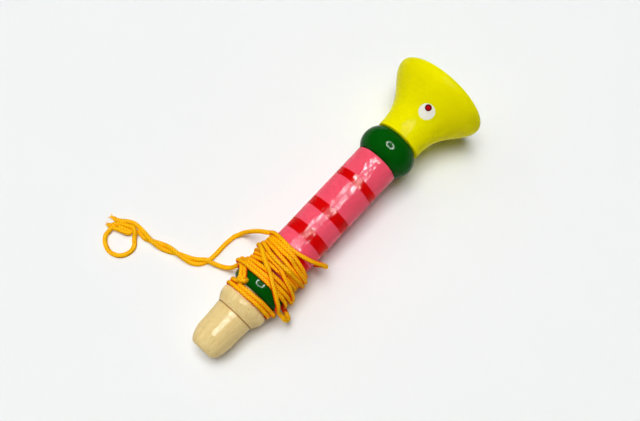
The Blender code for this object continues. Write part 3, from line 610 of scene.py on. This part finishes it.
def lacquered(name, light, deep, ripple, ripple_depth, gloss, seed):
    """Opaque gloss lacquer on turned wood: colour that pools a little, and ripples that break highlights."""
    material, tree, shader, toy = new_material(name)
    pool = add(tree, "TexNoise", {"Vector": toy, "W": seed, "Scale": 1 / 7.0, "Detail": 3.0},
               noise_dimensions="4D")
    colour = add(tree, "Mix", {"Factor": pool.outputs["Fac"], "A": linear(deep), "B": linear(light)},
                 data_type="RGBA")
    bump = lacquer_bump(tree, toy, ripple, ripple_depth, seed)
    tree.links.new(colour.outputs["Result"], shader.inputs["Base Color"])
    tree.links.new(bump.outputs["Normal"], shader.inputs["Normal"])
    shader.inputs["Roughness"].default_value = 0.07
    shader.inputs["Specular IOR Level"].default_value = gloss
    return material, tree, shader, toy, colour.outputs["Result"]


def within(tree, value, low, high, soft):
    """1 where a value lies between two limits and 0 outside, with an edge as wide as soft."""
    middle, half = (low + high) / 2, (high - low) / 2
    away = add(tree, "Math", {0: value, 1: middle}, operation="SUBTRACT")
    size = add(tree, "Math", {0: away.outputs[0]}, operation="ABSOLUTE")
    return add(tree, "MapRange", {"Value": size.outputs[0], "From Min": half + soft / 2,
                                  "From Max": half - soft / 2,
                                  "To Min": 0.0, "To Max": 1.0}).outputs["Result"]


def green_lacquer():
    """Dark green gloss lacquer: deep, even colour with small sharp highlights."""
    return lacquered("green_gloss_lacquer", "#06580B", "#044A08", 0.9, 0.02, 0.035, 3.1)[0]


def pink_lacquer():
    """Pink gloss lacquer with a mottled streak of light, and stripes of red paint with edges that wander."""
    material, tree, shader, toy, pink = lacquered("pink_gloss_lacquer", "#F85C72", "#F24C64",
                                                   1.35, 0.3, 0.06, 7.7)
    wander = add(tree, "TexNoise", {"Vector": toy, "Scale": 1 / 6.0, "Detail": 1.0})
    shift = add(tree, "Math", {0: wander.outputs["Fac"], 1: 0.7, 2: -0.35}, operation="MULTIPLY_ADD")
    place = add(tree, "SeparateXYZ", {"Vector": toy}).outputs["X"]
    wavy = add(tree, "Math", {0: place, 1: shift.outputs[0]}, operation="ADD").outputs[0]
    paint = None
    for low, high in STRIPES:
        band = within(tree, wavy, low, high, PAINT_EDGE)
        paint = add(tree, "Math", {0: paint, 1: band}, operation="MAXIMUM").outputs[0] if paint else band
    red = add(tree, "Mix", {"Factor": wander.outputs["Fac"], "A": linear("#D00405"), "B": linear("#DE0606")},
              data_type="RGBA").outputs["Result"]
    both = add(tree, "Mix", {"Factor": paint, "A": pink, "B": red}, data_type="RGBA").outputs["Result"]
    tree.links.new(both, shader.inputs["Base Color"])
    return material


def yellow_lacquer():
    """Yellow gloss lacquer with a painted eye on each side: a white disc with a red pupil in it."""
    material, tree, shader, toy, yellow = lacquered("yellow_gloss_lacquer", "#F3EA02", "#EDE201",
                                                     1.3, 0.16, 0.012, 1.3)
    flip = add(tree, "VectorMath", {0: toy, 1: (1, -1, -1)}, operation="MULTIPLY").outputs["Vector"]
    colour = yellow
    white = (("#F4F1E2", EYE_RADIUS),)
    pupil = (("#640508", PUPIL_RADIUS), ("#BE1016", PUPIL_RADIUS - PUPIL_RING))
    for centre, parts in ((EYE_CENTRE, white), (PUPIL_CENTRE, pupil)):
        near = add(tree, "VectorMath", {0: toy, 1: centre}, operation="DISTANCE").outputs["Value"]
        far = add(tree, "VectorMath", {0: flip, 1: centre}, operation="DISTANCE").outputs["Value"]
        away = add(tree, "Math", {0: near, 1: far}, operation="MINIMUM").outputs[0]
        for paint, size in parts:
            disc = within(tree, away, -size, size, PAINT_EDGE)
            colour = add(tree, "Mix", {"Factor": disc, "A": colour, "B": linear(paint)},
                         data_type="RGBA").outputs["Result"]
    tree.links.new(colour, shader.inputs["Base Color"])
    return material


def clear_wood():
    """Pale close-grained hardwood under clear lacquer: lengthwise grain, short darker flecks, a dark turned
    groove beside the collar, and a blow hole that darkens inwards."""
    material, tree, shader, toy = new_material("clear_lacquered_hardwood")
    along = add(tree, "VectorMath", {0: toy, 1: (0.08, 1.0, 1.0)}, operation="MULTIPLY").outputs["Vector"]
    grain = add(tree, "TexNoise", {"Vector": along, "Scale": 1 / 1.3, "Detail": 4.0, "Roughness": 0.6,
                                   "Distortion": 0.4})
    tone = add(tree, "Mix", {"Factor": grain.outputs["Fac"], "A": linear("#E0BB72"), "B": linear("#F6E2A6")},
               data_type="RGBA").outputs["Result"]
    short = add(tree, "VectorMath", {0: toy, 1: (0.5, 2.2, 2.2)}, operation="MULTIPLY").outputs["Vector"]
    fleck = add(tree, "TexNoise", {"Vector": short, "Scale": 1 / 0.9, "Detail": 1.0})
    spot = add(tree, "MapRange", {"Value": fleck.outputs["Fac"], "From Min": 0.58, "From Max": 0.75,
                                  "To Min": 0.0, "To Max": 0.4}).outputs["Result"]
    place = add(tree, "SeparateXYZ", {"Vector": toy}).outputs["X"]
    groove = within(tree, place, *GROOVE, GROOVE_EDGE)
    across = add(tree, "VectorMath", {0: toy, 1: (0, 1, 1)}, operation="MULTIPLY").outputs["Vector"]
    from_axis = add(tree, "VectorMath", {0: across}, operation="LENGTH").outputs["Value"]
    hole = add(tree, "MapRange", {"Value": from_axis, "From Min": BLOW_HOLE_RADIUS + 0.3,
                                  "From Max": BLOW_HOLE_RADIUS,
                                  "To Min": 0.0, "To Max": 0.9}).outputs["Result"]
    colour = tone
    for share, dark in ((spot, "#C79A58"), (groove, "#B08046"), (hole, "#3A2410")):
        colour = add(tree, "Mix", {"Factor": share, "A": colour, "B": linear(dark)},
                     data_type="RGBA").outputs["Result"]
    tree.links.new(colour, shader.inputs["Base Color"])
    bump = lacquer_bump(tree, toy, 1.2, 0.12, 5.0)
    tree.links.new(bump.outputs["Normal"], shader.inputs["Normal"])
    shader.inputs["Roughness"].default_value = 0.17
    shader.inputs["Specular IOR Level"].default_value = 0.04
    return material


def orange_cord():
    """Braided synthetic cord: bright yarns, painted shade in deep orange between them, and a slow drift of
    colour.
    """
    material, tree, shader, toy = new_material("braided_orange_cord")
    height = add(tree, "Attribute", attribute_name="yarn_painted_light").outputs["Fac"]
    shade = add(tree, "MapRange", {"Value": height, "From Min": 0.18, "From Max": 0.92,
                                   "To Min": 0.0, "To Max": 1.0}).outputs["Result"]
    patch = add(tree, "TexNoise", {"Vector": toy, "Scale": 1 / 2.5, "Detail": 2.0}).outputs["Fac"]
    warm = add(tree, "Mix", {"Factor": patch, "A": linear("#FFC200"), "B": linear("#FFD400")},
               data_type="RGBA").outputs["Result"]
    # Painted shade: the deep orange comes in where the painted light on the yarns is low
    cord = add(tree, "Mix", {"Factor": shade, "A": linear("#F03000"), "B": warm}, data_type="RGBA")
    tree.links.new(cord.outputs["Result"], shader.inputs["Base Color"])
    thread = add(tree, "TexNoise", {"Vector": toy, "Scale": 1 / 0.18, "Detail": 2.0})
    bump = add(tree, "Bump", {"Height": thread.outputs["Fac"], "Strength": 0.6, "Distance": 0.04 * MM})
    tree.links.new(bump.outputs["Normal"], shader.inputs["Normal"])
    shader.inputs["Roughness"].default_value = 0.62
    shader.inputs["Specular IOR Level"].default_value = 0.02
    return material


def moulded_plastic():
    """Moulded polystyrene of the reed: off-white, with a faint moulding texture."""
    material, tree, shader, toy = new_material("moulded_polystyrene")
    grit = add(tree, "TexNoise", {"Vector": toy, "Scale": 1 / 0.4, "Detail": 2.0})
    tone = add(tree, "Mix", {"Factor": grit.outputs["Fac"], "A": linear("#DEDDD3"), "B": linear("#EDECE4")},
               data_type="RGBA")
    bump = add(tree, "Bump", {"Height": grit.outputs["Fac"], "Strength": 0.4, "Distance": 0.01 * MM})
    tree.links.new(tone.outputs["Result"], shader.inputs["Base Color"])
    tree.links.new(bump.outputs["Normal"], shader.inputs["Normal"])
    shader.inputs["Roughness"].default_value = 0.42
    return material


def rolled_brass():
    """Rolled brass strip: fine scratches along the tongue that stretch its reflections."""
    material, tree, shader, toy = new_material("rolled_brass")
    drawn = add(tree, "VectorMath", {0: toy, 1: (0.05, 1.0, 1.0)}, operation="MULTIPLY").outputs["Vector"]
    scratch = add(tree, "TexNoise", {"Vector": drawn, "Scale": 1 / 0.12, "Detail": 3.0})
    tone = add(tree, "Mix", {"Factor": scratch.outputs["Fac"], "A": linear("#B8923E"),
                             "B": linear("#DDBB68")}, data_type="RGBA")
    rough = add(tree, "MapRange", {"Value": scratch.outputs["Fac"], "To Min": 0.22, "To Max": 0.4})
    tree.links.new(tone.outputs["Result"], shader.inputs["Base Color"])
    tree.links.new(rough.outputs["Result"], shader.inputs["Roughness"])
    shader.inputs["Metallic"].default_value = 1.0
    return material


def make_materials():
    """All finishes, by name."""
    return {"green": green_lacquer(), "pink": pink_lacquer(), "yellow": yellow_lacquer(),
            "wood": clear_wood(), "cord": orange_cord(), "plastic": moulded_plastic(),
            "brass": rolled_brass()}


def stands_for(piece, slot, *nodes):
    """Let a piece ride on the toy in place of its solids."""
    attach(piece, "toy")
    if nodes:
        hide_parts(*nodes)


def make_wood(finish):
    """The five turned pieces, and better finishes on the reed's solids."""
    for name, profile, slot, key in (
            ("turned_mouthpiece", mouthpiece_profile(), "clear_lacquered_wood", "wood"),
            ("turned_lower_bead", bead_profile(lower_bead_arc()), "green_lacquered_wood", "green"),
            ("turned_tube", tube_profile(), "pink_lacquered_wood", "pink"),
            ("turned_upper_bead", bead_profile(bead_arc(*UPPER_BEAD, 40)), "green_lacquered_wood", "green"),
            ("turned_bell", bell_profile(), "yellow_lacquered_wood", "yellow")):
        node = name.replace("turned_", "").replace("tube", "body_tube")
        stands_for(turned(name, profile, finish[key]), slot, node)
    for node, key in (("reed_body", "plastic"), ("reed_ring", "plastic"), ("reed_tongue", "brass")):
        solid = bpy.data.objects[node]
        solid.data.materials.clear()
        solid.data.materials.append(finish[key])


def away_from_axis(path):
    """For each even step of a path, the vector to it from the nearest point of the toy's axis."""
    line = even_points(path, BRAID_STEP) - TIP
    axis = np.array((math.cos(TILT), 0, math.sin(TILT)))
    return line - (line @ axis)[:, None] * axis


def held(path):
    """How far each even step of a wound strand is pressed in, for its painted side shade: fully near its bed,
    not in a loose bight.

    A smooth step down from 1 to 0 as its height over the bare bed passes what stacked strands reach.
    """
    outward = away_from_axis(path)
    along = even_points(path, BRAID_STEP) - TIP - outward
    lift = np.linalg.norm(outward, axis=1) - bed_radius(np.linalg.norm(along, axis=1))
    return 1 - smooth_step(np.clip((lift - LAID_LIFT) / LOOSE_SPAN, 0, 1))


def make_wound_cord(cord):
    """The cord on the toy and its two free strands; returns each free strand with its path."""
    hitch, = map(above_table, map(to_frame, laid(HITCH)))
    # Painted shade on the strand's sides, fading out where it hangs loose
    strand = braided("braided_hitch", hitch, cord, away_from_axis(hitch), ease=0.7,
                     side_shade=SIDE_SHADE_PAINT * held(hitch))
    stands_for(strand, CORD_SLOT, "cord_hitch")

    c, d = math.cos(NECK_KNOT_ANGLE), math.sin(NECK_KNOT_ANGLE)
    lean, rise = math.sin(NECK_KNOT_LEAN), math.cos(NECK_KNOT_LEAN)
    wide, deep, outward = np.array(((lean, -rise * c, rise * d), (rise, lean * c, -lean * d), (0, d, c)))
    t = np.linspace(0, NECK_KNOT_HALF_TURNS * math.pi, 120)[:, None]
    wrap = (np.array((NECK_KNOT_PLACE, 0, 0)) + outward * (NECK_KNOT_RADIUS + np.sin(t))
            + wide * NECK_KNOT_WIDTH * np.cos(t)
            + deep * (t / math.pi - NECK_KNOT_HALF_TURNS / 2) * NECK_KNOT_STEP)
    knot = braided("braided_neck_knot", to_frame(wrap), cord, (0.5, 0.2, 0.8), ease=0.6)
    stands_for(knot, CORD_SLOT, "cord_knot")

    free = {}
    for name, wound, route, nodes in zip(
            ("bell_side", "mouth_side"), laid(BELL_SIDE_WOUND, MOUTH_SIDE_WOUND),
            ((*BELL_SIDE_FREE, *in_knot(LEAD_IN_KNOT)), MOUTH_SIDE_FREE),
            (("cord_winding", "cord_lead_bell_side"), ("cord_cross_turns", "cord_lead_mouth_side"))):
        wound = above_table(to_frame(wound))
        ahead = unit(wound[-1] - wound[-4])
        path = smooth_path([wound[-1], wound[-1] + ahead * LEAD_START_RUN, *route])
        wound = smooth_path(np.vstack([wound[:-1:3], wound[-1], wound[-1] + ahead * LEAD_OVERLAP]), 6)
        # Painted shade on the strand's sides, fading out where it hangs loose
        strand = braided(f"braided_wound_{name}", wound, cord, away_from_axis(wound),
                         side_shade=SIDE_SHADE_PAINT * held(wound))
        stands_for(strand, CORD_SLOT, nodes[0])
        lead = braided(f"braided_lead_{name}", path, cord, (0.7, 0.3, 0.65))
        stands_for(lead, CORD_SLOT, nodes[1])
        free[name] = (lead, path)
    return free


def make_cord_end(cord, free):
    """The end knot, its loop and cut ends."""
    knot_path = smooth_path(in_knot(END_KNOT))
    loop_path = smooth_path([*in_knot(LOOP_IN_KNOT), *END_LOOP, knot_path[0], knot_path[3]])
    end_knot = braided("braided_end_knot", knot_path, cord, (0.35, 0.75, 0.55))
    end_loop = braided("braided_end_loop", loop_path, cord, (0, 0, 1))
    tail = braided("braided_tail", smooth_path(TAIL), cord, (0, 0, 1))
    tail_fray = frayed("frayed_tail", TAIL[-1], (-0.4, 0.9, -0.1), 1.5, 0.5, 7, cord, 11)
    lead_fray = frayed("frayed_lead", MOUTH_SIDE_FREE[-1], (-0.15, 0.98, 0.0), 2.3, 0.55, 8, cord, 5)
    for piece, nodes in ((end_knot, ["cord_end_knot"]), (end_loop, ["cord_end_loop"]), (tail, ["cord_tail"]),
                         (tail_fray, []), (lead_fray, [])):
        stands_for(piece, CORD_SLOT, *nodes)


def make_stage():
    """A matt pale table, a dim room, a soft key panel overhead, a wider and weaker sky panel from the cord's
    side, and overhead a ring of small lamps round a faint disc, which only the gloss shows."""
    material, tree, shader, toy = new_material("pale_tabletop")
    speck = add(tree, "TexNoise", {"Vector": toy, "Scale": 1 / 60.0, "Detail": 2.0})
    tone = add(tree, "Mix", {"Factor": speck.outputs["Fac"], "A": linear("#F1F3F3"), "B": linear("#F4F5F5")},
               data_type="RGBA")
    tree.links.new(tone.outputs["Result"], shader.inputs["Base Color"])
    shader.inputs["Roughness"].default_value = 0.9
    shader.inputs["Specular IOR Level"].default_value = 0.0
    mesh = bpy.data.meshes.new("tabletop")
    mesh.from_pydata([(x * TABLE_HALF, y * TABLE_HALF, 0) for x, y in ((-1, -1), (1, -1), (1, 1), (-1, 1))],
                     [], [(0, 1, 2, 3)])
    mesh.materials.append(material)
    table = bpy.data.objects.new("tabletop", mesh)
    bpy.context.scene.collection.objects.link(table)

    world = bpy.data.worlds.new("dim_room")
    world.use_nodes = True
    room = world.node_tree.nodes["Background"]
    room.inputs["Color"].default_value = (1.0, 1.0, 1.0, 1.0)
    room.inputs["Strength"].default_value = ROOM
    bpy.context.scene.world = world

    centre = unit(np.array(RING_TOWARD))
    side = unit(np.cross((0, 1, 0), centre))
    turn = np.linspace(0, 2 * math.pi, RING_LAMPS, endpoint=False)[:, None]
    ring = (centre * math.cos(RING_SPREAD)
            + (side * np.cos(turn) + np.cross(centre, side) * np.sin(turn)) * math.sin(RING_SPREAD))
    for name, shape, size, toward, radiance in (
            ("key_panel", "SQUARE", KEY_SIZE, KEY_TOWARD, KEY_RADIANCE),
            ("sky_panel", "SQUARE", SKY_SIZE, SKY_TOWARD, SKY_RADIANCE),
            ("overhead_disc", "DISK", 2 * LAMP_DISTANCE * math.tan(RING_SPREAD), RING_TOWARD, DISC_RADIANCE),
            *((f"ring_lamp_{k}", "DISK", RING_LAMP_SIZE, way, RING_RADIANCE) for k, way in enumerate(ring))):
        lamp = bpy.data.lights.new(name, "AREA")
        lamp.shape = shape
        lamp.size = size
        area = size * size * (math.pi / 4 if shape == "DISK" else 1)
        lamp.energy = radiance * math.pi * area
        holder = bpy.data.objects.new(name, lamp)
        holder.visible_glossy = shape == "DISK"
        holder.visible_diffuse = not holder.visible_glossy
        away = unit(np.array(toward))
        side = unit(np.cross((0, 1, 0.01), away))
        rise = np.cross(away, side)
        place = np.column_stack([side, rise, away, away * LAMP_DISTANCE])
        holder.matrix_world = Matrix([*place.tolist(), (0, 0, 0, 1)])
        bpy.context.scene.collection.objects.link(holder)


def make_camera():
    """The photograph's view: the camera looks down along its forward direction, with its right level."""
    e, a = CAMERA_ELEVATION, CAMERA_AZIMUTH
    ahead = np.array((math.cos(e) * math.cos(a), math.cos(e) * math.sin(a), -math.sin(e)))
    right = np.array((math.sin(a), -math.cos(a), 0.0))
    turn = np.column_stack([right, np.cross(right, ahead), -ahead, np.array(CAMERA_PLACE) * MM])
    data = bpy.data.cameras.new("view")
    data.sensor_fit = "HORIZONTAL"
    data.sensor_width = CAMERA_SENSOR
    data.lens = CAMERA_LENS
    data.clip_start = 0.01
    camera = bpy.data.objects.new("view", data)
    camera.matrix_world = Matrix([*turn.tolist(), (0, 0, 0, 1)])
    bpy.context.scene.collection.objects.link(camera)
    bpy.context.scene.camera = camera


finish = make_materials()
make_wood(finish)
make_cord_end(finish["cord"], make_wound_cord(finish["cord"]))
make_stage()
make_camera()
bpy.context.scene.view_settings.view_transform = "Standard"
